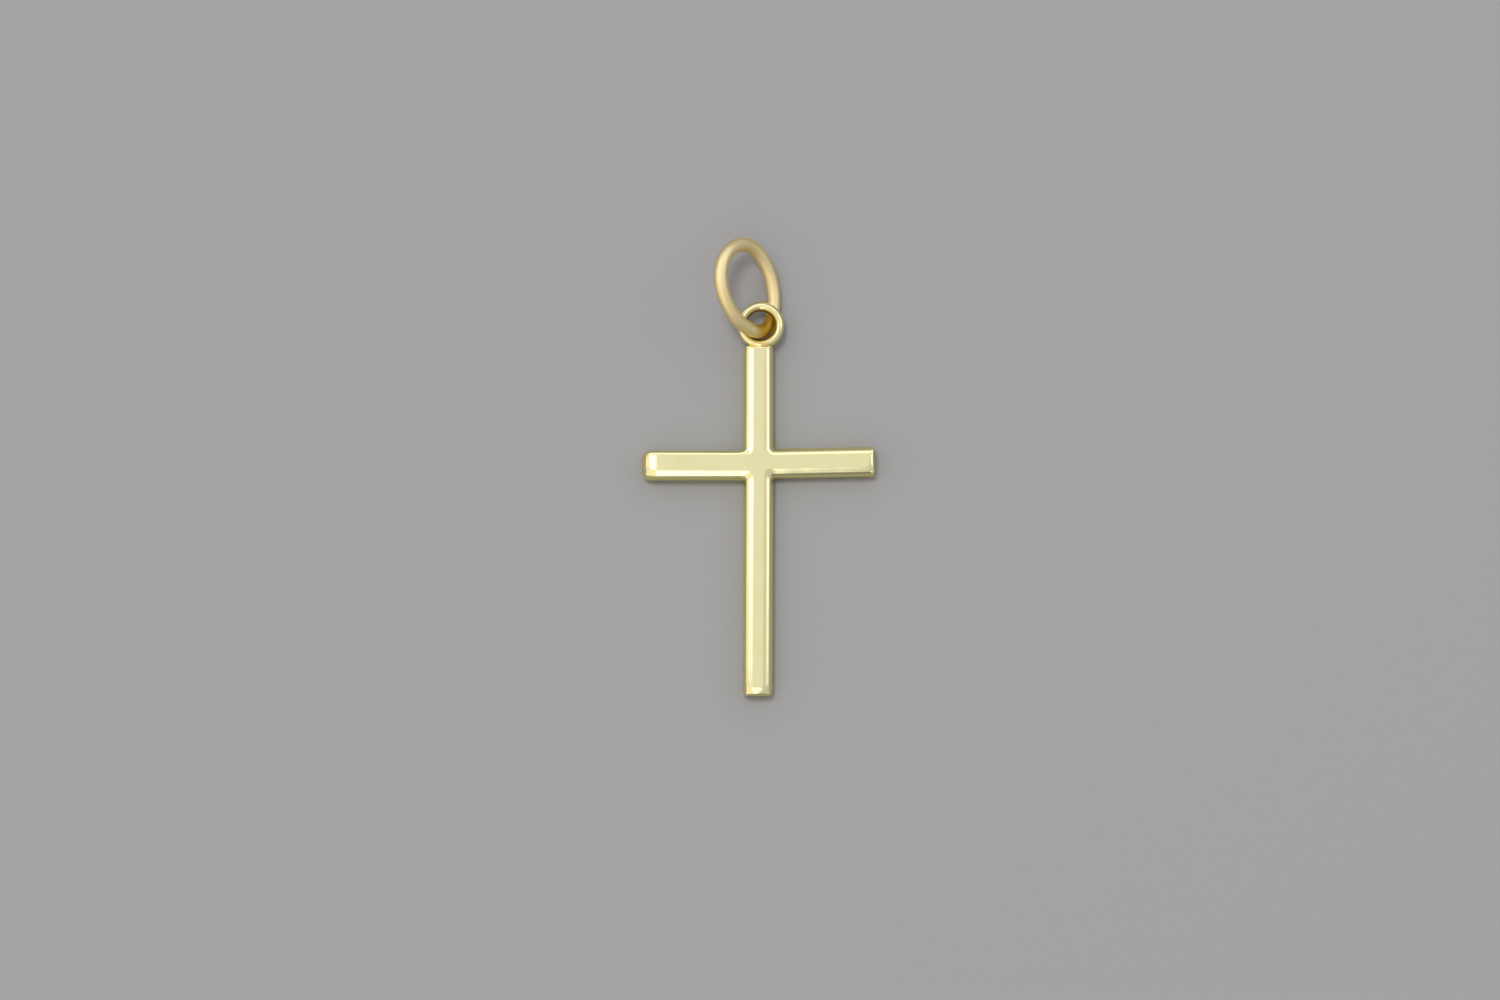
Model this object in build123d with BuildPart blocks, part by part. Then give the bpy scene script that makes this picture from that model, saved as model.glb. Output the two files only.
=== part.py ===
from build123d import *
import os
from math import atan2, cos, degrees, radians, sin, sqrt

# A plain gold cross lying on its flat back, with an oval jump ring threaded through its eyelet.
# All sizes are in millimetres. The origin is on the back, under the crossing of the bars.
# +Z points out of the polished face and +Y along the upright towards the eyelet.

# Bars
bar_width = 1.96
bar_thickness = 1.6
face_edge_radius = 0.58
back_edge_radius = 0.18
inner_corner_radius = 0.1

# Each arm of the cross: its heading seen from above in degrees, how far its middle line is shifted
# to its left-hand side, its reach from the crossing, the radius of its end seen from the side and
# the radius of its corners seen from above
arms = (
    {"heading": 90.0, "shift": 0.0, "reach": 7.68, "nose_radius": 0.35, "corner_radius": 0.15},
    {"heading": 269.8, "shift": 0.0, "reach": 15.15, "nose_radius": 0.65, "corner_radius": 0.26},
    {"heading": 180.0, "shift": 0.13, "reach": 7.62, "nose_radius": 1.1, "corner_radius": 0.45},
    {"heading": 1.0, "shift": 0.0, "reach": 7.58, "nose_radius": 0.33, "corner_radius": 0.17},
)
upper_reach = arms[0]["reach"]

# The bars start longer than they end up, and each end is then cut back to its rounded shape.
# The cutting shapes stand off the bars' flat faces by the clearance, so that no faces coincide.
spare_length = 2.0
cut_margin = 1.0
cut_clearance = 0.004

# Eyelet, a loop of round wire soldered flat on the upper end
eyelet_wire = 0.62
eyelet_radius = 1.225
eyelet_x = 0.14
eyelet_y = 9.0
eyelet_z = 1.32

# Solder that fills the corners between the eyelet and the upper end
solder_width = 1.5
solder_reach = 0.14
solder_root = 0.2
solder_thickness = 0.34

# Jump ring, an egg-shaped loop of round wire in four arcs, with its widest end away from the cross
ring_wire = 0.90
ring_half_width = 2.293
ring_side_radius = 3.775
ring_top_radius = 2.209
ring_foot_radius = 1.366

# The ring leans on the eyelet's left rim: it falls towards +X and is turned in its own plane
ring_x = -0.746
ring_y = 11.527
ring_tilt = 46.42
ring_turn = 33.2


def heading_vector(heading):
    """Level direction of a heading in degrees."""
    return Vector(cos(radians(heading)), sin(radians(heading)), 0)


def side_plane(heading):
    """Upright plane through an arm's middle, with X along the arm and Y upwards."""
    along = heading_vector(heading)
    return Plane(origin=(0, 0, 0), x_dir=along, z_dir=along.cross(Vector(0, 0, 1)))


def back_plane(heading):
    """Level plane of the back, with X along an arm."""
    return Plane(origin=(0, 0, 0), x_dir=heading_vector(heading), z_dir=(0, 0, 1))


def is_long_edge(edge):
    """True for an edge that runs along the bars, not across a bar's end."""
    return not any(edge.center().dot(heading_vector(arm["heading"])) > arm["reach"] for arm in arms)


with BuildPart() as cross:
    with BuildSketch():
        for arm in arms:
            with Locations(Location((0, 0, 0), (0, 0, arm["heading"]))):
                with Locations((0, arm["shift"])):
                    Rectangle(arm["reach"] + spare_length, bar_width, align=(Align.MIN, Align.CENTER))
    extrude(amount=bar_thickness)

    # Inner corners of the crossing, then the long edges of the face and of the back
    inner_corners = cross.edges().filter_by(Axis.Z).sort_by_distance((0, 0, bar_thickness / 2))[:4]
    fillet(inner_corners, inner_corner_radius)
    fillet(cross.faces().sort_by(Axis.Z)[-1].edges().filter_by(is_long_edge), face_edge_radius)
    fillet(cross.faces().sort_by(Axis.Z)[0].edges().filter_by(is_long_edge), back_edge_radius)

    for arm in arms:
        # The end as seen from the side
        with BuildSketch(side_plane(arm["heading"])) as nose_cut:
            with Locations((arm["reach"] - arm["nose_radius"] - cut_margin, -cut_margin)):
                Rectangle(
                    arm["nose_radius"] + spare_length + 2 * cut_margin,
                    bar_thickness + 2 * cut_margin,
                    align=(Align.MIN, Align.MIN),
                )
            with Locations((arm["reach"], -cut_clearance)):
                Rectangle(
                    arm["nose_radius"] + 2 * cut_margin,
                    bar_thickness + 2 * cut_clearance,
                    align=(Align.MAX, Align.MIN),
                    mode=Mode.SUBTRACT,
                )
            nose_corners = nose_cut.vertices().group_by(Axis.X)[1].sort_by(Axis.Y)
            fillet(nose_corners[0], back_edge_radius)
            nose_corners = nose_cut.vertices().group_by(Axis.X)[-2].sort_by(Axis.Y)
            fillet(nose_corners[-1], arm["nose_radius"])
        extrude(amount=bar_width, both=True, mode=Mode.SUBTRACT)

        # The end as seen from above
        with BuildSketch(back_plane(arm["heading"])) as corner_cut:
            with Locations((arm["reach"] - cut_margin, arm["shift"])):
                Rectangle(spare_length + 2 * cut_margin, 2 * bar_width, align=(Align.MIN, Align.CENTER))
            with Locations((arm["reach"], arm["shift"])):
                Rectangle(
                    2 * cut_margin,
                    bar_width + 2 * cut_clearance,
                    align=(Align.MAX, Align.CENTER),
                    mode=Mode.SUBTRACT,
                )
            fillet(corner_cut.vertices().group_by(Axis.X)[1], arm["corner_radius"])
        extrude(amount=bar_thickness, mode=Mode.SUBTRACT)

    with Locations((eyelet_x, eyelet_y, eyelet_z)):
        Torus(eyelet_radius, eyelet_wire / 2)

    with BuildSketch(Plane.XY.offset(eyelet_z - solder_thickness / 2)):
        with Locations((eyelet_x, upper_reach - solder_root)):
            Rectangle(solder_width, solder_root + solder_reach, align=(Align.CENTER, Align.MIN))
        with Locations((eyelet_x, eyelet_y)):
            Circle(eyelet_radius, mode=Mode.SUBTRACT)
    extrude(amount=solder_thickness)

# The side arcs of the ring are centred on its widest line, past the ring's middle
ring_side_offset = ring_side_radius - ring_half_width
ring_top_centre = sqrt((ring_side_radius - ring_top_radius) ** 2 - ring_side_offset**2)
ring_foot_centre = sqrt((ring_side_radius - ring_foot_radius) ** 2 - ring_side_offset**2)
ring_top_angle = degrees(atan2(ring_top_centre, ring_side_offset))
ring_foot_angle = degrees(atan2(ring_foot_centre, ring_side_offset))

# Its middle stands as high as puts the lowest point of the wire on the back's plane
tilt = radians(ring_tilt)
turn = radians(ring_turn)
ring_fall = ring_side_radius - ring_side_offset * cos(turn)
ring_z = ring_wire / 2 + ring_fall * sin(tilt)
ring_plane = Plane(
    origin=(ring_x, ring_y, ring_z),
    x_dir=(cos(turn) * cos(tilt), sin(turn), -cos(turn) * sin(tilt)),
    z_dir=(sin(tilt), 0, cos(tilt)),
)

with BuildPart() as jump_ring:
    with BuildLine(ring_plane) as ring_path:
        side_sweep = ring_top_angle + ring_foot_angle
        CenterArc((-ring_side_offset, 0), ring_side_radius, -ring_foot_angle, side_sweep)
        CenterArc((0, ring_top_centre), ring_top_radius, ring_top_angle, 180 - 2 * ring_top_angle)
        CenterArc((ring_side_offset, 0), ring_side_radius, 180 - ring_top_angle, side_sweep)
        CenterArc((0, -ring_foot_centre), ring_foot_radius, 180 + ring_foot_angle, 180 - 2 * ring_foot_angle)
    with BuildSketch(Plane(origin=ring_path.wire() @ 0, z_dir=ring_path.wire() % 0)):
        Circle(ring_wire / 2)
    sweep()

cross.part.label = "cross"
jump_ring.part.label = "jump_ring"

os.makedirs("parts", exist_ok=True)
export_step(cross.part, "parts/cross.step")
export_step(jump_ring.part, "parts/jump_ring.step")
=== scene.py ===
"""A small plain gold cross pendant with an oval jump ring, lying on its back on a pale floor.

The cross and the ring are modelled in millimetres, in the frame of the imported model, and scaled to metres
when they are finished. The soft studio light is a set of panels above and round the pendant, which its
polished edges mirror.
"""

import logging
import math
from collections.abc import Callable
from contextlib import contextmanager
from dataclasses import dataclass, field
from enum import Enum

import bmesh
import bpy
from mathutils import Matrix, Vector

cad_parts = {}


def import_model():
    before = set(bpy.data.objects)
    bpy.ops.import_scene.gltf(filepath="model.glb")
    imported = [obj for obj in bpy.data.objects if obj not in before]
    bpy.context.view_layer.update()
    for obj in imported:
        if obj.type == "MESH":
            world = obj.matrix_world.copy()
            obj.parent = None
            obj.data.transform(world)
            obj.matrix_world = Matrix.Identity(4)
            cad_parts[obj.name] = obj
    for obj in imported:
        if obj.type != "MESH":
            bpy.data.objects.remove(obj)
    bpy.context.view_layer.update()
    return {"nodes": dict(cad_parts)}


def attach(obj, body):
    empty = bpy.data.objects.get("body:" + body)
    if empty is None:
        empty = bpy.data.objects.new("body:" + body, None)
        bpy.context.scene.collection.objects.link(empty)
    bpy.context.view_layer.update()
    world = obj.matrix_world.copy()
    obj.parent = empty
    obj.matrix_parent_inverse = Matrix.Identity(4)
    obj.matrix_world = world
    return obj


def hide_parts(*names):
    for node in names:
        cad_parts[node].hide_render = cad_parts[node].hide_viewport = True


MILLIMETRE = 0.001
MICROMETRE = 0.000001
SHARP_ANGLE = 40.0
LOG = logging.getLogger("pendant")

# Two places closer than this many millimetres count as one, and so do two directions past this cosine.
NEAR = 0.001
ALIGNED = 0.9

Colour = tuple[float, float, float, float]
Element = bmesh.types.BMVert | bmesh.types.BMEdge | bmesh.types.BMFace
Test = Callable[[Element], bool]


class Part(Enum):
    """What a selection in edit mode is made of."""

    VERTEX = "VERT"
    EDGE = "EDGE"
    FACE = "FACE"


class Workbench:
    """Short forms of the modelling steps that every piece needs."""

    @staticmethod
    def clear() -> None:
        """Deselect every object."""
        bpy.ops.object.select_all(action="DESELECT")

    @staticmethod
    def take(piece: bpy.types.Object) -> None:
        """Select one object alone and make it the active one.

        Args:
            piece: the object to work on.
        """
        Workbench.clear()
        piece.select_set(True)
        bpy.context.view_layer.objects.active = piece

    @staticmethod
    @contextmanager
    def editing(piece: bpy.types.Object):
        """Hold a piece in edit mode with nothing selected.

        Args:
            piece: the mesh object to edit.
        """
        Workbench.take(piece)
        bpy.ops.object.mode_set(mode="EDIT")
        bpy.ops.mesh.select_all(action="DESELECT")
        yield
        bpy.ops.object.mode_set(mode="OBJECT")

    @staticmethod
    def pick(piece: bpy.types.Object, part: Part, test: Test) -> int:
        """Select what a test of its middle and direction accepts, and nothing else.

        Args:
            piece: a mesh object in edit mode.
            part: whether vertices, edges or faces are picked.
            test: takes the bmesh element and says whether it is picked.

        Returns:
            How many elements are selected.
        """
        bpy.ops.mesh.select_mode(type=part.value)
        bpy.ops.mesh.select_all(action="DESELECT")
        mesh = bmesh.from_edit_mesh(piece.data)
        elements = {Part.VERTEX: mesh.verts, Part.EDGE: mesh.edges, Part.FACE: mesh.faces}[part]
        chosen = [element for element in elements if test(element)]
        for element in chosen:
            element.select_set(True)
        mesh.select_flush_mode()
        bmesh.update_edit_mesh(piece.data)
        return len(chosen)

    @staticmethod
    def finish_with(piece: bpy.types.Object, kind: str, **settings) -> None:
        """Add a modifier with its settings and apply it.

        Args:
            piece: the object that the modifier shapes.
            kind: Blender's name for the modifier type.
            settings: the modifier's own values.
        """
        Workbench.take(piece)
        modifier = piece.modifiers.new(kind.title(), kind)
        for name, value in settings.items():
            setattr(modifier, name, value)
        bpy.ops.object.modifier_apply(modifier=modifier.name)

    @staticmethod
    def to_metres(piece: bpy.types.Object) -> None:
        """Scale a finished piece from millimetres to metres, with its place in its mesh.

        Args:
            piece: the object, modelled in millimetres.
        """
        Workbench.take(piece)
        piece.matrix_world = Matrix.Scale(MILLIMETRE, 4) @ piece.matrix_world
        bpy.ops.object.transform_apply(location=True, rotation=True, scale=True)
        with Workbench.editing(piece):
            bpy.ops.mesh.select_all(action="SELECT")
            bpy.ops.mesh.normals_make_consistent(inside=False)
        Workbench.take(piece)
        bpy.ops.object.shade_smooth_by_angle(angle=math.radians(SHARP_ANGLE))
        Workbench.clear()


@dataclass(frozen=True)
class Arm:
    """One arm of the cross, in millimetres.

    Attributes:
        way: the unit direction that it points in, seen from above.
        turn: how far its real heading is off that direction, in degrees, counterclockwise.
        shift: how far its middle line lies to its left-hand side of the crossing's middle.
        reach: distance of its end from the crossing.
        nose: radius of its end seen from the side.
        corner: radius of its end's corners seen from above.
        dome: length of the stretch at its end where the face slopes down, worn by years of rubbing.
        drop: how far the face has sunk at the very end.
        edges: radii of the face's edges along its left-hand and its right-hand side.
    """

    way: tuple[int, int]
    turn: float
    reach: float
    nose: float
    corner: float
    dome: float = 0.0
    drop: float = 0.0
    shift: float = 0.0
    edges: tuple[float, float] = (0.58, 0.58)

    def outwards(self) -> Vector:
        """Return the arm's direction as a level vector."""
        return Vector((self.way[0], self.way[1], 0.0))

    def sideways(self) -> Vector:
        """Return the level direction to the arm's left-hand side."""
        return Vector((-self.way[1], self.way[0], 0.0))


def cross_arms() -> tuple[Arm, ...]:
    """Return the four arms in the order upper, lower, left and right."""
    return (
        Arm(way=(0, 1), turn=0.0, reach=7.68, nose=0.2, corner=0.15),
        Arm(way=(0, -1), turn=-0.2, reach=15.15, nose=0.27, corner=0.3, dome=0.8, drop=0.1),
        Arm(
            way=(-1, 0),
            turn=0.0,
            reach=7.62,
            nose=0.5,
            corner=0.5,
            dome=1.08,
            drop=0.24,
            shift=0.13,
            edges=(0.58, 0.36),
        ),
        Arm(way=(1, 0), turn=1.0, reach=7.58, nose=0.3, corner=0.17),
    )


@dataclass
class Cross:
    """The two bars and the eyelet that is soldered on the upper end, one body of metal.

    Attributes:
        width: width of both bars, in millimetres as every size here.
        thickness: their height from the back to the face.
        back_edge: radius of the back's edges.
        section_step: about how long the sections are that an arm is divided into.
        first_section: length of the section next to the crossing, which keeps the inner corner crisp.
        nose_room: how much longer an arm's last section is than its nose.
        seam_margin: how far past the crossing block its own seams are looked for.
        dome_sections: how many sections a worn slope has.
        edge_segments: how many strips round an edge.
        flat_margin: width of the strip that holds a flat's border while the bars are softened.
        flat_cosine: the least upward part of a flat's direction.
        worn_share: the share of the thickness above which an end wears down.
        smoothing: how many times the bars are subdivided.
        arms: the four arms.
        eyelet_wire: thickness of the eyelet's wire.
        eyelet_radius: radius of the loop that the wire's middle follows.
        eyelet_centre: the loop's middle.
        eyelet_sides: how many sides the loop and its wire have.
        solder_centre: middle of the bead of solder.
        solder_size: the bead's width, length and height.
        solder_sides: how many sides the bead has round it and from top to bottom.
    """

    width: float = 1.96
    thickness: float = 1.6
    back_edge: float = 0.18
    section_step: float = 0.9
    first_section: float = 0.16
    nose_room: float = 0.16
    seam_margin: float = 0.1
    dome_sections: int = 3
    edge_segments: int = 3
    flat_margin: float = 0.1
    flat_cosine: float = 0.9999
    worn_share: float = 0.6
    smoothing: int = 3
    arms: tuple[Arm, ...] = field(default_factory=cross_arms)
    eyelet_wire: float = 0.62
    eyelet_radius: float = 1.225
    eyelet_centre: tuple[float, float, float] = (0.14, 9.0, 1.32)
    eyelet_sides: tuple[int, int] = (120, 36)
    solder_centre: tuple[float, float, float] = (0.13, 7.72, 1.3)
    solder_size: tuple[float, float, float] = (1.5, 0.34, 0.42)
    solder_sides: tuple[int, int] = (48, 24)

    def build(self) -> bpy.types.Object:
        """Model the whole cross.

        Returns:
            The finished object, in metres, named cross_body.
        """
        body = self.rough_bars()
        self.round_edges(body)
        self.solder_eyelet(body)
        Workbench.to_metres(body)
        body.name = "cross_body"
        return body

    def rough_bars(self) -> bpy.types.Object:
        """Extrude four arms in short sections out of a block at the crossing.

        Returns:
            The square-edged bars, in millimetres.
        """
        Workbench.clear()
        bpy.ops.mesh.primitive_cube_add(
            size=1.0,
            location=(0.0, 0.0, self.thickness / 2),
            scale=(self.width, self.width, self.thickness),
        )
        body = bpy.context.active_object
        bpy.ops.object.transform_apply(location=True, rotation=True, scale=True)
        with Workbench.editing(body):
            for arm in self.arms:
                way = arm.outwards()
                Workbench.pick(body, Part.FACE, lambda face: self.is_root(face, way))
                for step in self.section_steps(arm):
                    bpy.ops.mesh.extrude_region_move(TRANSFORM_OT_translate={"value": way * step})
            Workbench.pick(body, Part.EDGE, self.is_inner_seam)
            bpy.ops.mesh.dissolve_edges(use_verts=False)
        return body

    def is_root(self, face: bmesh.types.BMFace, way: Vector) -> bool:
        """Tell whether a face is the side of the crossing block that looks along an arm.

        Args:
            face: a face of the unfinished bars.
            way: the arm's direction.
        """
        spot = face.calc_center_median() - way * self.width / 2
        return face.normal.dot(way) > ALIGNED and spot.xy.length < NEAR

    def section_steps(self, arm: Arm) -> list[float]:
        """Return the lengths of an arm's sections, from the crossing to its end.

        Args:
            arm: the arm that is divided.
        """
        last = arm.nose + self.nose_room
        sloping = max(0.0, arm.dome - last)
        middle = arm.reach - self.width / 2 - self.first_section - sloping - last
        count = round(middle / self.section_step)
        slopes = [sloping / self.dome_sections] * self.dome_sections if sloping else []
        return [self.first_section, *[middle / count] * count, *slopes, last]

    def is_inner_seam(self, edge: bmesh.types.BMEdge) -> bool:
        """Tell whether an edge divides the face or the back at the crossing block.

        Args:
            edge: an edge of the square-edged bars.
        """
        first, second = (vertex.co for vertex in edge.verts)
        middle = (first + second) / 2
        return abs(first.z - second.z) < NEAR and middle.xy.length < self.width / 2 + self.seam_margin

    def round_edges(self, body: bpy.types.Object) -> None:
        """Round every outer edge by its own radius, wear and move the arms and soften the whole.

        Args:
            body: the square-edged bars.
        """
        mesh = body.data
        weights = mesh.attributes.new("bevel_weight_edge", "FLOAT", "EDGE")
        for edge in mesh.edges:
            ends = [mesh.vertices[index].co for index in edge.vertices]
            weights.data[edge.index].value = self.edge_radius(ends[0], ends[1])
        Workbench.finish_with(
            body,
            "BEVEL",
            width=1.0,
            segments=self.edge_segments,
            limit_method="WEIGHT",
            use_clamp_overlap=False,
        )
        with Workbench.editing(body):
            for side in (1.0, -1.0):
                Workbench.pick(body, Part.FACE, lambda face: face.normal.z * side > self.flat_cosine)
                bpy.ops.mesh.inset(thickness=self.flat_margin, use_boundary=True)
        for arm in self.arms:
            self.wear_end(body, arm)
            self.move_arm(body, arm)
        Workbench.finish_with(body, "SUBSURF", levels=self.smoothing, render_levels=self.smoothing)

    def edge_radius(self, first: Vector, second: Vector) -> float:
        """Return the radius that rounds an edge of the square bars, or nothing for a seam inside a flat.

        Args:
            first: one end of the edge.
            second: its other end.
        """
        middle = (first + second) / 2
        direction = (second - first).normalized()
        arm = max(self.arms, key=lambda candidate: candidate.outwards().dot(middle))
        out = middle.dot(arm.outwards())
        side = middle.dot(arm.sideways())
        at_end = out > arm.reach - NEAR
        if abs(direction.z) > ALIGNED:
            return arm.corner if at_end else 0.0
        on_side = abs(abs(side) - self.width / 2) < NEAR and abs(direction.dot(arm.outwards())) > ALIGNED
        if not (at_end or on_side):
            return 0.0
        if middle.z < self.thickness / 2:
            return self.back_edge
        if at_end:
            return arm.nose
        return arm.edges[0] if side > 0 else arm.edges[1]

    def move_arm(self, body: bpy.types.Object, arm: Arm) -> None:
        """Shift one arm sideways along the other bar and turn it by its small angle about the crossing.

        Args:
            body: the bars.
            arm: the arm to move.
        """
        half = self.width / 2
        if arm.shift:
            with Workbench.editing(body):
                Workbench.pick(body, Part.VERTEX, lambda vertex: self.is_on_arm(vertex.co, arm))
                bpy.ops.transform.translate(value=arm.sideways() * arm.shift)
        if not arm.turn:
            return
        start = half + self.first_section / 2
        angle = arm.turn * arm.reach / (arm.reach - half)
        with Workbench.editing(body):
            Workbench.pick(body, Part.VERTEX, lambda vertex: vertex.co.dot(arm.outwards()) > start)
            bpy.ops.transform.rotate(
                value=-math.radians(angle), orient_axis="Z", center_override=arm.outwards() * half
            )

    def is_on_arm(self, spot: Vector, arm: Arm) -> bool:
        """Tell whether a spot lies on an arm, up to the corners between it and its neighbours.

        Args:
            spot: a place on the bars.
            arm: the arm in question.
        """
        return spot.dot(arm.outwards()) > max(NEAR, abs(spot.dot(arm.sideways())) - NEAR)

    def wear_end(self, body: bpy.types.Object, arm: Arm) -> None:
        """Let an arm's face slope down to its end, ever more steeply.

        Args:
            body: the bars with their rounded edges.
            arm: the arm whose end is worn.
        """
        if not arm.dome:
            return
        start = arm.reach - arm.dome
        upper = self.worn_share * self.thickness
        tops = [vertex.co for vertex in body.data.vertices if vertex.co.z > upper]
        stops = sorted({round(spot.dot(arm.outwards()), 3) for spot in tops})
        sunk = 0.0
        with Workbench.editing(body):
            for stop in (place for place in stops if place > start):
                depth = arm.drop * ((stop - start) / arm.dome) ** 2
                Workbench.pick(
                    body,
                    Part.VERTEX,
                    lambda vertex: vertex.co.dot(arm.outwards()) > stop - NEAR
                    and vertex.co.z > upper - depth,
                )
                bpy.ops.transform.translate(value=(0.0, 0.0, sunk - depth))
                sunk = depth

    def solder_eyelet(self, body: bpy.types.Object) -> None:
        """Join the wire loop and its bead of solder to the upper end.

        Args:
            body: the rounded bars.
        """
        Workbench.clear()
        bpy.ops.mesh.primitive_torus_add(
            location=self.eyelet_centre,
            major_segments=self.eyelet_sides[0],
            minor_segments=self.eyelet_sides[1],
            major_radius=self.eyelet_radius,
            minor_radius=self.eyelet_wire / 2,
        )
        loop = bpy.context.active_object
        Workbench.clear()
        bpy.ops.mesh.primitive_uv_sphere_add(
            segments=self.solder_sides[0],
            ring_count=self.solder_sides[1],
            radius=0.5,
            location=self.solder_centre,
            scale=self.solder_size,
        )
        bead = bpy.context.active_object
        for addition in (loop, bead):
            Workbench.take(addition)
            bpy.ops.object.transform_apply(location=True, rotation=True, scale=True)
            Workbench.finish_with(body, "BOOLEAN", operation="UNION", object=addition, solver="EXACT")
            bpy.data.objects.remove(addition)


@dataclass
class JumpRing:
    """The oval ring of round wire, an egg shape of four arcs that leans on the eyelet.

    Attributes:
        wire: thickness of the wire, in millimetres as every size here.
        half_width: half the width between the wire's middles, at the widest place.
        side_radius: radius of the two side arcs.
        top_radius: radius of the arc away from the cross.
        foot_radius: radius of the arc inside the eyelet.
        place: where the ring's middle lies, seen from above.
        tilt: how far it leans from lying flat towards the right, in degrees.
        turn: how far it is turned in its own plane, in degrees.
        wire_sides: how many sides the wire's section has.
        steps_per_degree: how many steps an arc has for each degree.
        fewest_steps: how many steps even a short arc has.
        seam: how close two points must be to be joined where the arcs meet.
    """

    wire: float = 0.9
    half_width: float = 2.293
    side_radius: float = 3.775
    top_radius: float = 2.209
    foot_radius: float = 1.366
    place: tuple[float, float] = (-0.746, 11.527)
    tilt: float = 46.42
    turn: float = 33.2
    wire_sides: int = 40
    steps_per_degree: float = 0.6
    fewest_steps: int = 4
    seam: float = 0.002

    def build(self) -> bpy.types.Object:
        """Spin the wire's section round the ring's arcs and lay the ring in its place.

        Returns:
            The finished object, in metres, named ring_wire.
        """
        offset = self.side_radius - self.half_width
        top = math.sqrt((self.side_radius - self.top_radius) ** 2 - offset**2)
        foot = math.sqrt((self.side_radius - self.foot_radius) ** 2 - offset**2)
        top_angle = math.degrees(math.atan2(top, offset))
        foot_angle = math.degrees(math.atan2(foot, offset))
        arcs = (
            ((-offset, 0.0), top_angle),
            ((0.0, top), 180.0 - 2 * top_angle),
            ((offset, 0.0), top_angle + foot_angle),
            ((0.0, -foot), 180.0 - 2 * foot_angle),
            ((-offset, 0.0), foot_angle),
        )
        Workbench.clear()
        bpy.ops.mesh.primitive_circle_add(
            vertices=self.wire_sides,
            radius=self.wire / 2,
            fill_type="NOTHING",
            location=(self.half_width, 0.0, 0.0),
            rotation=(math.radians(90.0), 0.0, 0.0),
        )
        ring = bpy.context.active_object
        bpy.ops.object.transform_apply(location=True, rotation=True, scale=True)
        with Workbench.editing(ring):
            bpy.ops.mesh.select_all(action="SELECT")
            for centre, angle in arcs:
                bpy.ops.mesh.spin(
                    steps=max(self.fewest_steps, round(angle * self.steps_per_degree)),
                    angle=-math.radians(angle),
                    center=(*centre, 0.0),
                    axis=(0.0, 0.0, 1.0),
                )
            bpy.ops.mesh.select_all(action="SELECT")
            bpy.ops.mesh.remove_doubles(threshold=self.seam)
        ring.matrix_world = self.lying()
        Workbench.to_metres(ring)
        ring.name = "ring_wire"
        return ring

    def lying(self) -> Matrix:
        """Return where the ring lies, in millimetres: its lowest point touches the floor."""
        tilt, turn = math.radians(self.tilt), math.radians(self.turn)
        fall = self.side_radius - (self.side_radius - self.half_width) * math.cos(turn)
        height = self.wire / 2 + fall * math.sin(tilt)
        x_axis = Vector((math.cos(turn) * math.cos(tilt), math.sin(turn), -math.cos(turn) * math.sin(tilt)))
        z_axis = Vector((math.sin(tilt), 0.0, math.cos(tilt)))
        y_axis = z_axis.cross(x_axis)
        turned = Matrix((x_axis, y_axis, z_axis)).transposed().to_4x4()
        return Matrix.Translation((*self.place, height)) @ turned


@dataclass(frozen=True)
class Pattern:
    """A noise pattern.

    Attributes:
        per_millimetre: how many grains lie along a millimetre.
        detail: how many finer layers it has.
        turn: the heading of its streaks in degrees.
        stretch: how many times longer than wide its streaks are.
    """

    per_millimetre: float
    detail: float
    turn: float = 0.0
    stretch: float = 1.0


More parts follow.
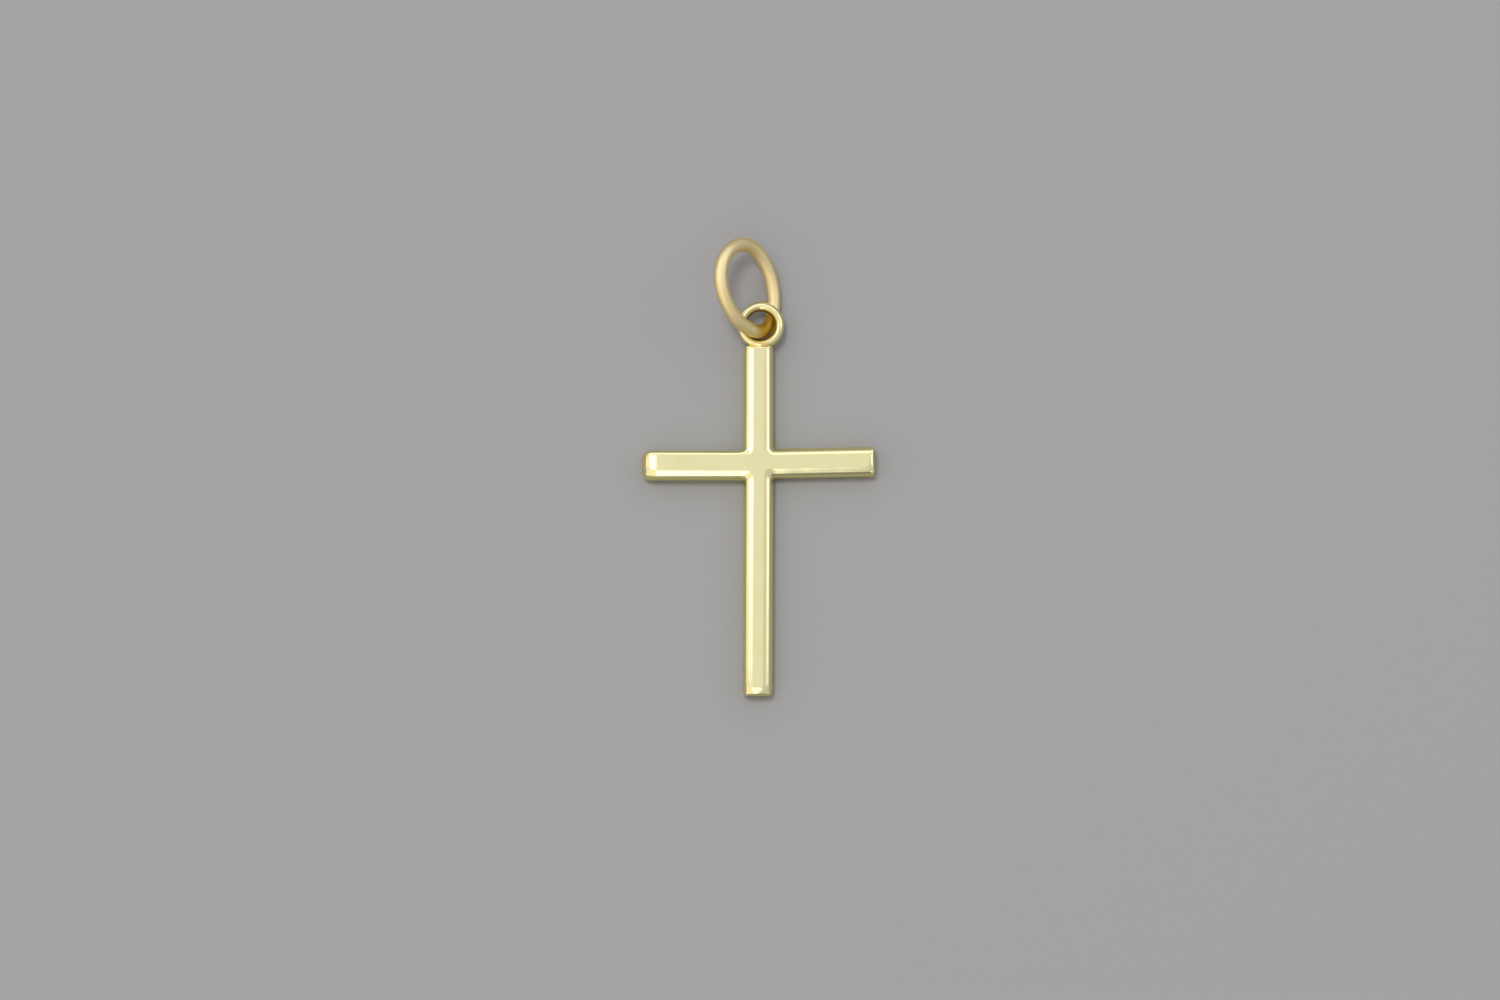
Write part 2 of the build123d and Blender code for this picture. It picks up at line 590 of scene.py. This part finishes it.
class NodeSheet:
    """Short forms for laying out shader nodes in one tree.

    A Mix node has sockets of the same name for each type of value, so those of the colours go by number.
    """

    MIX_FIRST = 6
    MIX_SECOND = 7
    MIX_RESULT = 2

    def __init__(self, tree: bpy.types.NodeTree) -> None:
        """Work on one node tree."""
        self.tree = tree

    def node(self, kind: str, **settings) -> bpy.types.Node:
        """Add a node.

        Args:
            kind: the node's type, without the word ShaderNode.
            settings: the node's own values.

        Returns:
            The new node.
        """
        made = self.tree.nodes.new("ShaderNode" + kind)
        for name, value in settings.items():
            setattr(made, name, value)
        return made

    def feed(self, target: bpy.types.NodeSocket, source: "bpy.types.NodeSocket | float | tuple") -> None:
        """Link a socket to a source, or set it where the source is a plain value.

        Args:
            target: the socket that is fed.
            source: another socket, a number, a vector or a colour.
        """
        if isinstance(source, bpy.types.NodeSocket):
            self.tree.links.new(source, target)
        else:
            target.default_value = source

    def maths(self, operation: str, *terms: "bpy.types.NodeSocket | float") -> bpy.types.NodeSocket:
        """Return the result of a Math node.

        Args:
            operation: Blender's name for what it does.
            terms: its inputs in order.
        """
        made = self.node("Math", operation=operation)
        for target, term in zip(made.inputs, terms):
            self.feed(target, term)
        return made.outputs[0]

    def ramp(self, value: bpy.types.NodeSocket, low: float, high: float) -> bpy.types.NodeSocket:
        """Return a value that rises smoothly from 0 at low to 1 at high.

        Args:
            value: what is mapped.
            low: where the result is 0.
            high: where the result is 1, which may lie below low.
        """
        made = self.node("MapRange", interpolation_type="SMOOTHSTEP")
        for name, source in (("Value", value), ("From Min", low), ("From Max", high)):
            self.feed(made.inputs[name], source)
        return made.outputs["Result"]

    def blend(
        self,
        factor: bpy.types.NodeSocket,
        first: "bpy.types.NodeSocket | Colour",
        second: "bpy.types.NodeSocket | Colour",
    ) -> bpy.types.NodeSocket:
        """Return a mix of two colours.

        Args:
            factor: how much of the second colour shows.
            first: one colour.
            second: the other colour.
        """
        made = self.node("Mix", data_type="RGBA")
        self.feed(made.inputs["Factor"], factor)
        self.feed(made.inputs[self.MIX_FIRST], first)
        self.feed(made.inputs[self.MIX_SECOND], second)
        return made.outputs[self.MIX_RESULT]

    def millimetres(self) -> bpy.types.NodeSocket:
        """Return the place on the piece, in millimetres."""
        place = self.node("TexCoord").outputs["Object"]
        scaled = self.node("VectorMath", operation="SCALE")
        self.feed(scaled.inputs[0], place)
        self.feed(scaled.inputs["Scale"], 1.0 / MILLIMETRE)
        return scaled.outputs["Vector"]

    def noise(self, place: bpy.types.NodeSocket, pattern: Pattern) -> bpy.types.NodeSocket:
        """Return the value of a noise pattern.

        Args:
            place: where the pattern is read, in millimetres.
            pattern: its size and direction.
        """
        turned = self.node("Mapping")
        self.feed(turned.inputs["Vector"], place)
        self.feed(turned.inputs["Rotation"], (0.0, 0.0, math.radians(pattern.turn)))
        self.feed(turned.inputs["Scale"], (1.0 / pattern.stretch, 1.0, 1.0))
        made = self.node("TexNoise")
        self.feed(made.inputs["Vector"], turned.outputs["Vector"])
        self.feed(made.inputs["Scale"], pattern.per_millimetre)
        self.feed(made.inputs["Detail"], pattern.detail)
        return made.outputs["Fac"]


class GroupKind(Enum):
    """The effects that both golds share, each one a node group."""

    TONE = "gold_tone"
    MARKS = "polish_marks"
    STAIN = "local_stain"


class GoldEffects:
    """The shared node groups of the two golds, each built once.

    The pairs of numbers say where an effect starts and where it is full: STEEP of the upward part of the
    direction that a surface faces, for the shade painted on the flanks, CLOUDED and SCRATCHED of their
    noise.
    """

    FLOAT = "NodeSocketFloat"
    COLOUR = "NodeSocketColor"
    VECTOR = "NodeSocketVector"

    STEEP = (0.82, 0.4)
    CLOUDS = Pattern(per_millimetre=0.55, detail=3.0)
    CLOUDED = (0.42, 0.68)

    WAVES = Pattern(per_millimetre=0.5, detail=1.0)
    GRAIN = Pattern(per_millimetre=4.0, detail=3.0)
    HAIRLINES = (
        Pattern(per_millimetre=16.0, detail=1.0, turn=62.0, stretch=40.0),
        Pattern(per_millimetre=21.0, detail=1.0, turn=-38.0, stretch=55.0),
        Pattern(per_millimetre=13.0, detail=1.0, turn=8.0, stretch=30.0),
    )
    SCRATCHED = (0.66, 0.74)
    SCRATCH_DULLNESS = 0.12
    RUBBING = Pattern(per_millimetre=0.9, detail=3.0)
    LEAST_RUBBED = 0.65
    RUBBED_SPAN = 0.7

    def __init__(self) -> None:
        """Build every group."""
        self.groups = {
            GroupKind.TONE: self.tone(),
            GroupKind.MARKS: self.marks(),
            GroupKind.STAIN: self.stain_and_shade(),
        }

    @staticmethod
    def start(
        kind: GroupKind, inputs: tuple[tuple[str, str], ...], outputs: tuple[tuple[str, str], ...]
    ) -> tuple[NodeSheet, bpy.types.Node, bpy.types.Node]:
        """Make an empty group with its sockets.

        Args:
            kind: which group it is.
            inputs: the name and type of each input.
            outputs: the name and type of each output.

        Returns:
            The group's sheet, its input node and its output node.
        """
        tree = bpy.data.node_groups.new(kind.value, "ShaderNodeTree")
        for side, sockets in (("INPUT", inputs), ("OUTPUT", outputs)):
            for name, socket_type in sockets:
                tree.interface.new_socket(name=name, in_out=side, socket_type=socket_type)
        return NodeSheet(tree), tree.nodes.new("NodeGroupInput"), tree.nodes.new("NodeGroupOutput")

    def tone(self) -> bpy.types.NodeTree:
        """Build the group that paints shade on the flanks as a deeper colour, and deepens the colour in
        faint large patches of tone.
        """
        sheet, given, result = self.start(
            GroupKind.TONE,
            (("Bright", self.COLOUR), ("Deep", self.COLOUR), ("Patches", self.FLOAT)),
            (("Color", self.COLOUR),),
        )
        facing = sheet.node("SeparateXYZ")
        sheet.feed(facing.inputs[0], sheet.node("TexCoord").outputs["Normal"])
        # painted shade: flanks that face sideways take the deeper colour, standing in for the dark floor
        # that they mirror
        painted_flank_shade = sheet.ramp(facing.outputs["Z"], *self.STEEP)
        cloud = sheet.ramp(sheet.noise(sheet.millimetres(), self.CLOUDS), *self.CLOUDED)
        patches = sheet.maths("MULTIPLY", cloud, given.outputs["Patches"])
        share = sheet.maths("MAXIMUM", painted_flank_shade, patches)
        toned = sheet.blend(share, given.outputs["Bright"], given.outputs["Deep"])
        sheet.feed(result.inputs["Color"], toned)
        return sheet.tree

    def marks(self) -> bpy.types.NodeTree:
        """Build the group of hand-polished waves, grain and hairlines, with heights in micrometres."""
        sheet, given, result = self.start(
            GroupKind.MARKS,
            tuple((name, self.FLOAT) for name in ("Dullness", "Waves", "Grain", "Scratches")),
            (("Roughness", self.FLOAT), ("Height", self.FLOAT)),
        )
        place = sheet.millimetres()
        waves = sheet.maths("MULTIPLY", sheet.noise(place, self.WAVES), given.outputs["Waves"])
        grain = sheet.maths("MULTIPLY", sheet.noise(place, self.GRAIN), given.outputs["Grain"])
        lines = 0.0
        for pattern in self.HAIRLINES:
            streak = sheet.ramp(sheet.noise(place, pattern), *self.SCRATCHED)
            lines = sheet.maths("MAXIMUM", lines, streak)
        cut = sheet.maths("MULTIPLY", lines, given.outputs["Scratches"])
        height = sheet.maths("SUBTRACT", sheet.maths("ADD", waves, grain), cut)
        sheet.feed(result.inputs["Height"], height)
        rubbing = sheet.noise(place, self.RUBBING)
        rubbed = sheet.maths("MULTIPLY_ADD", rubbing, self.RUBBED_SPAN, self.LEAST_RUBBED)
        dull = sheet.maths("MULTIPLY", given.outputs["Dullness"], rubbed)
        sheet.feed(result.inputs["Roughness"], sheet.maths("MULTIPLY_ADD", cut, self.SCRATCH_DULLNESS, dull))
        return sheet.tree

    def stain_and_shade(self) -> bpy.types.NodeTree:
        """Build the group that lays a round patch of another tone on a colour, used for the solder's own
        colour and for painted shade in and round the eyelet's hole.
        """
        sheet, given, result = self.start(
            GroupKind.STAIN,
            (
                ("Color", self.COLOUR),
                ("StainAndShade", self.COLOUR),
                ("Centre", self.VECTOR),
                ("Reach", self.VECTOR),
                ("Full", self.FLOAT),
            ),
            (("Color", self.COLOUR),),
        )
        offset = sheet.node("VectorMath", operation="SUBTRACT")
        sheet.feed(offset.inputs[0], sheet.millimetres())
        sheet.feed(offset.inputs[1], given.outputs["Centre"])
        shrunk = sheet.node("VectorMath", operation="DIVIDE")
        sheet.feed(shrunk.inputs[0], offset.outputs["Vector"])
        sheet.feed(shrunk.inputs[1], given.outputs["Reach"])
        length = sheet.node("VectorMath", operation="LENGTH")
        sheet.feed(length.inputs[0], shrunk.outputs["Vector"])
        fade = sheet.node("MapRange", interpolation_type="SMOOTHSTEP")
        sheet.feed(fade.inputs["Value"], length.outputs["Value"])
        sheet.feed(fade.inputs["From Min"], 1.0)
        sheet.feed(fade.inputs["From Max"], given.outputs["Full"])
        mask = fade.outputs["Result"]
        sheet.feed(result.inputs["Color"], sheet.blend(mask, given.outputs["Color"], given.outputs["StainAndShade"]))
        return sheet.tree


@dataclass(frozen=True)
class StainAndShade:
    """A place where the gold has another tone, used both for the solder's own colour and for shade painted
    into the eyelet's hole.

    Attributes:
        colour: the tone.
        centre: its middle, in millimetres.
        reach: how far it reaches along each axis, in millimetres.
        full: the share of the reach within which the tone is full.
    """

    colour: Colour
    centre: tuple[float, float, float]
    reach: tuple[float, float, float]
    full: float


@dataclass(frozen=True)
class GoldFinish:
    """One finish of gold.

    Attributes:
        name: the material's name.
        colour: its base colour.
        deep_colour: its colour on flanks, where it is painted shade, and in toned patches.
        patches: how strongly the patches show.
        roughness: how dull the polish is.
        waves: height of the hand polish's waves, in micrometres.
        grain: height of the fine grain, in micrometres.
        scratches: depth of the hairline scratches, in micrometres.
        stains_and_shade: the places with another tone, the solder's own colour and shade painted in and
            round the eyelet's hole.
    """

    name: str
    colour: Colour
    deep_colour: Colour
    patches: float
    roughness: float
    waves: float
    grain: float
    scratches: float
    stains_and_shade: tuple[StainAndShade, ...]

    def material(self, effects: GoldEffects) -> bpy.types.Material:
        """Build the material.

        Args:
            effects: the shared node groups.

        Returns:
            The finished material.
        """
        material = bpy.data.materials.new(self.name)
        material.use_nodes = True
        sheet = NodeSheet(material.node_tree)
        shader = material.node_tree.nodes["Principled BSDF"]
        shader.inputs["Metallic"].default_value = 1.0
        tone = sheet.node("Group", node_tree=effects.groups[GroupKind.TONE])
        sheet.feed(tone.inputs["Bright"], self.colour)
        sheet.feed(tone.inputs["Deep"], self.deep_colour)
        sheet.feed(tone.inputs["Patches"], self.patches)
        colour = tone.outputs["Color"]
        for stain_and_shade in self.stains_and_shade:
            patch = sheet.node("Group", node_tree=effects.groups[GroupKind.STAIN])
            sheet.feed(patch.inputs["Color"], colour)
            sheet.feed(patch.inputs["StainAndShade"], stain_and_shade.colour)
            sheet.feed(patch.inputs["Centre"], stain_and_shade.centre)
            sheet.feed(patch.inputs["Reach"], stain_and_shade.reach)
            sheet.feed(patch.inputs["Full"], stain_and_shade.full)
            colour = patch.outputs["Color"]
        sheet.feed(shader.inputs["Base Color"], colour)
        marks = sheet.node("Group", node_tree=effects.groups[GroupKind.MARKS])
        sheet.feed(marks.inputs["Dullness"], self.roughness)
        sheet.feed(marks.inputs["Waves"], self.waves)
        sheet.feed(marks.inputs["Grain"], self.grain)
        sheet.feed(marks.inputs["Scratches"], self.scratches)
        sheet.feed(shader.inputs["Roughness"], marks.outputs["Roughness"])
        bump = sheet.node("Bump")
        bump.inputs["Distance"].default_value = MICROMETRE
        sheet.feed(bump.inputs["Height"], marks.outputs["Height"])
        sheet.feed(shader.inputs["Normal"], bump.outputs["Normal"])
        return material


POLISHED = GoldFinish(
    name="cross_gold",
    colour=(0.88, 0.82, 0.48, 1.0),
    # the deeper colour is painted shade on the flanks, and the gold's own tone in the faint patches
    deep_colour=(0.82, 0.76, 0.24, 1.0),
    patches=0.1,
    roughness=0.12,
    waves=9.0,
    grain=0.4,
    scratches=0.35,
    stains_and_shade=(
        # the solder's own orange colour at the joint
        StainAndShade((0.96, 0.68, 0.28, 1.0), (0.14, 7.75, 1.5), (0.85, 0.24, 0.6), 0.55),
        # painted shade: the inside of the eyelet's hole turns olive and then deep brown, standing in for the
        # shade in the hole
        StainAndShade((0.58, 0.51, 0.2, 1.0), (0.14, 9.0, 1.1), (1.25, 1.25, 6.0), 0.86),
        StainAndShade((0.3, 0.19, 0.03, 1.0), (0.14, 9.0, 1.1), (1.06, 1.06, 6.0), 0.9),
    ),
)
SATIN = GoldFinish(
    name="ring_gold",
    colour=(0.93, 0.78, 0.46, 1.0),
    # the deeper colour is painted shade on the wire's flanks, and the gold's own tone in the faint patches
    deep_colour=(0.86, 0.7, 0.32, 1.0),
    patches=0.3,
    roughness=0.5,
    waves=14.0,
    grain=5.0,
    scratches=0.8,
    # painted shade: the wire turns a deeper orange where it runs through the shaded hole of the eyelet
    stains_and_shade=(StainAndShade((0.72, 0.47, 0.06, 1.0), (0.2, 8.95, 1.0), (1.25, 1.25, 1.6), 0.6),),
)


@dataclass(frozen=True)
class Panel:
    """One soft panel of light, seen from the pendant.

    Attributes:
        east: where it starts and ends, in degrees east of straight up.
        north: where it starts and ends, in degrees north of straight up.
        level: how bright it is, where the ceiling is about one.
        blur: how wide its soft borders are in degrees, the east and west ones and the north and south ones.
        tint: its colour.
    """

    east: tuple[float, float]
    north: tuple[float, float]
    level: float
    blur: tuple[float, float]
    tint: tuple[float, float, float] = (1.0, 1.0, 1.0)

    def over(
        self,
        sheet: NodeSheet,
        light: bpy.types.NodeSocket,
        east: bpy.types.NodeSocket,
        north: bpy.types.NodeSocket,
    ) -> bpy.types.NodeSocket:
        """Lay the panel over the light that is there already.

        Args:
            sheet: the world's nodes.
            light: the light so far.
            east: the direction's angle east of straight up.
            north: its angle north of straight up.

        Returns:
            The light with the panel.
        """
        mask = 1.0
        for angle, (start, end), blur in zip((east, north), (self.east, self.north), self.blur):
            rising = sheet.ramp(angle, start - blur / 2, start + blur / 2)
            falling = sheet.ramp(angle, end + blur / 2, end - blur / 2)
            mask = sheet.maths("MULTIPLY", mask, sheet.maths("MULTIPLY", rising, falling))
        own = tuple(self.level * part for part in self.tint)
        return sheet.blend(mask, light, (*own, 1.0))


def studio_panels() -> tuple[Panel, ...]:
    """Return the panels, and the darker places between them, from the large ones to the small ones."""
    return (
        Panel(east=(0.3, 70.0), north=(-62.0, -4.0), level=0.62, blur=(2.0, 2.0)),
        Panel(east=(0.3, 80.0), north=(-95.0, -60.0), level=0.22, blur=(8.0, 8.0)),
        Panel(east=(8.0, 32.0), north=(-30.0, 4.0), level=0.66, blur=(4.0, 4.0)),
        Panel(east=(-72.0, -7.0), north=(-62.0, -6.0), level=1.15, blur=(6.0, 4.0), tint=(1.0, 0.88, 0.7)),
        Panel(east=(-82.0, -30.0), north=(1.6, 28.0), level=1.2, blur=(8.0, 2.0), tint=(1.0, 0.86, 0.7)),
        Panel(east=(-44.0, -7.0), north=(1.75, 24.0), level=2.1, blur=(8.0, 0.8)),
        Panel(east=(-7.0, 0.45), north=(-62.0, -8.0), level=2.1, blur=(0.8, 2.0)),
        Panel(east=(40.0, 60.0), north=(2.3, 40.0), level=1.8, blur=(4.0, 0.8)),
        Panel(east=(-60.0, 60.0), north=(38.0, 64.0), level=1.35, blur=(6.0, 6.0)),
    )


@dataclass
class Studio:
    """The pale floor, the light panels and the camera.

    Attributes:
        frame_width: how many millimetres the picture is wide.
        lens: the camera's focal length in millimetres.
        sensor: the sensor's width in millimetres.
        nearest: where the camera starts to see, in metres.
        elevation: how high the camera stands over the pendant, in degrees.
        target: what it looks at, in millimetres.
        floor_size: the floor's width in metres.
        floor_colour: the floor's colour.
        floor_roughness: how dull it is.
        lamp_lean: how far the lamp hangs from straight above, in degrees.
        lamp_heading: in which direction it hangs, in degrees, counterclockwise from the right.
        lamp_distance: how far away it hangs, in metres.
        lamp_size: its width in metres.
        lamp_power: its power in watts.
        wall_level: how bright the light from the walls is.
        wall_top: between which elevations the walls turn into the ceiling, in degrees.
        ceiling_level: how bright the ceiling is.
        panels: the soft panels of light, and the darker places between them.
    """

    frame_width: float = 97.5
    lens: float = 100.0
    sensor: float = 36.0
    nearest: float = 0.01
    elevation: float = 87.0
    target: tuple[float, float, float] = (-0.5525, -2.41, 1.6)
    floor_size: float = 1.6
    floor_colour: Colour = (0.25, 0.25, 0.258, 1.0)
    floor_roughness: float = 0.8
    lamp_lean: float = 16.0
    lamp_heading: float = 122.0
    lamp_distance: float = 1.0
    lamp_size: float = 0.22
    lamp_power: float = 4.6
    wall_level: float = 0.34
    wall_top: tuple[float, float] = (4.0, 36.0)
    ceiling_level: float = 0.87
    panels: tuple[Panel, ...] = field(default_factory=studio_panels)

    def build(self) -> None:
        """Set up the floor, the light and the camera."""
        self.floor()
        self.light()
        self.lamp()
        self.camera()

    def floor(self) -> None:
        """Lay a plain pale floor under the pendant."""
        Workbench.clear()
        bpy.ops.mesh.primitive_plane_add(size=self.floor_size)
        floor = bpy.context.active_object
        floor.name = "floor"
        material = bpy.data.materials.new("pale_floor")
        material.use_nodes = True
        shader = material.node_tree.nodes["Principled BSDF"]
        shader.inputs["Base Color"].default_value = self.floor_colour
        shader.inputs["Roughness"].default_value = self.floor_roughness
        floor.data.materials.append(material)

    def light(self) -> None:
        """Surround the pendant with the soft light of the studio's ceiling and its panels."""
        world = bpy.data.worlds.new("studio")
        bpy.context.scene.world = world
        world.use_nodes = True
        sheet = NodeSheet(world.node_tree)
        split = sheet.node("SeparateXYZ")
        sheet.feed(split.inputs[0], sheet.node("TexCoord").outputs["Generated"])
        east = sheet.maths("DEGREES", sheet.maths("ARCTAN2", split.outputs["X"], split.outputs["Z"]))
        north = sheet.maths("DEGREES", sheet.maths("ARCTAN2", split.outputs["Y"], split.outputs["Z"]))
        foot, head = (math.sin(math.radians(angle)) for angle in self.wall_top)
        wall = (self.wall_level, self.wall_level, self.wall_level, 1.0)
        ceiling = (self.ceiling_level, self.ceiling_level, self.ceiling_level, 1.0)
        light = sheet.blend(sheet.ramp(split.outputs["Z"], foot, head), wall, ceiling)
        for panel in self.panels:
            light = panel.over(sheet, light, east, north)
        sheet.feed(world.node_tree.nodes["Background"].inputs["Color"], light)

    def lamp(self) -> None:
        """Hang a soft lamp overhead, a little to the north-west, for the narrow shadows under the edges."""
        Workbench.clear()
        bpy.ops.object.light_add(type="AREA")
        lamp = bpy.context.active_object
        lamp.name = "overhead_lamp"
        lamp.data.shape = "DISK"
        lamp.data.size = self.lamp_size
        lamp.data.energy = self.lamp_power
        lean, heading = math.radians(self.lamp_lean), math.radians(self.lamp_heading)
        off = math.sin(lean)
        way = Vector((math.cos(heading) * off, math.sin(heading) * off, math.cos(lean)))
        lamp.location = way * self.lamp_distance
        lamp.rotation_euler = way.to_track_quat("Z", "Y").to_euler()
        lamp.visible_glossy = False

    def camera(self) -> None:
        """Put the camera nearly straight above, framed as the photograph is."""
        data = bpy.data.cameras.new("camera")
        data.lens = self.lens
        data.sensor_width = self.sensor
        data.clip_start = self.nearest
        camera = bpy.data.objects.new("camera", data)
        bpy.context.collection.objects.link(camera)
        distance = self.frame_width * self.lens / self.sensor * MILLIMETRE
        raised = math.radians(self.elevation)
        back = Vector((0.0, -math.cos(raised), math.sin(raised)))
        target = Vector(self.target) * MILLIMETRE
        camera.location = target + back * distance
        camera.rotation_euler = back.to_track_quat("Z", "Y").to_euler()
        bpy.context.scene.camera = camera


def main() -> None:
    """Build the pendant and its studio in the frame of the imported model."""
    logging.basicConfig(level=logging.INFO, format="%(name)s: %(message)s")
    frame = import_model()
    LOG.info("the frame holds %s", ", ".join(frame["nodes"]))

    effects = GoldEffects()
    for piece, finish, node in (
        (Cross().build(), POLISHED, "cross"),
        (JumpRing().build(), SATIN, "jump_ring"),
    ):
        piece.data.materials.append(finish.material(effects))
        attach(piece, "root")
        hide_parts(node)
        LOG.info("%s: %d faces", piece.name, len(piece.data.polygons))

    Studio().build()
    bpy.context.scene.view_settings.view_transform = "Standard"


if __name__ == "__main__":
    main()
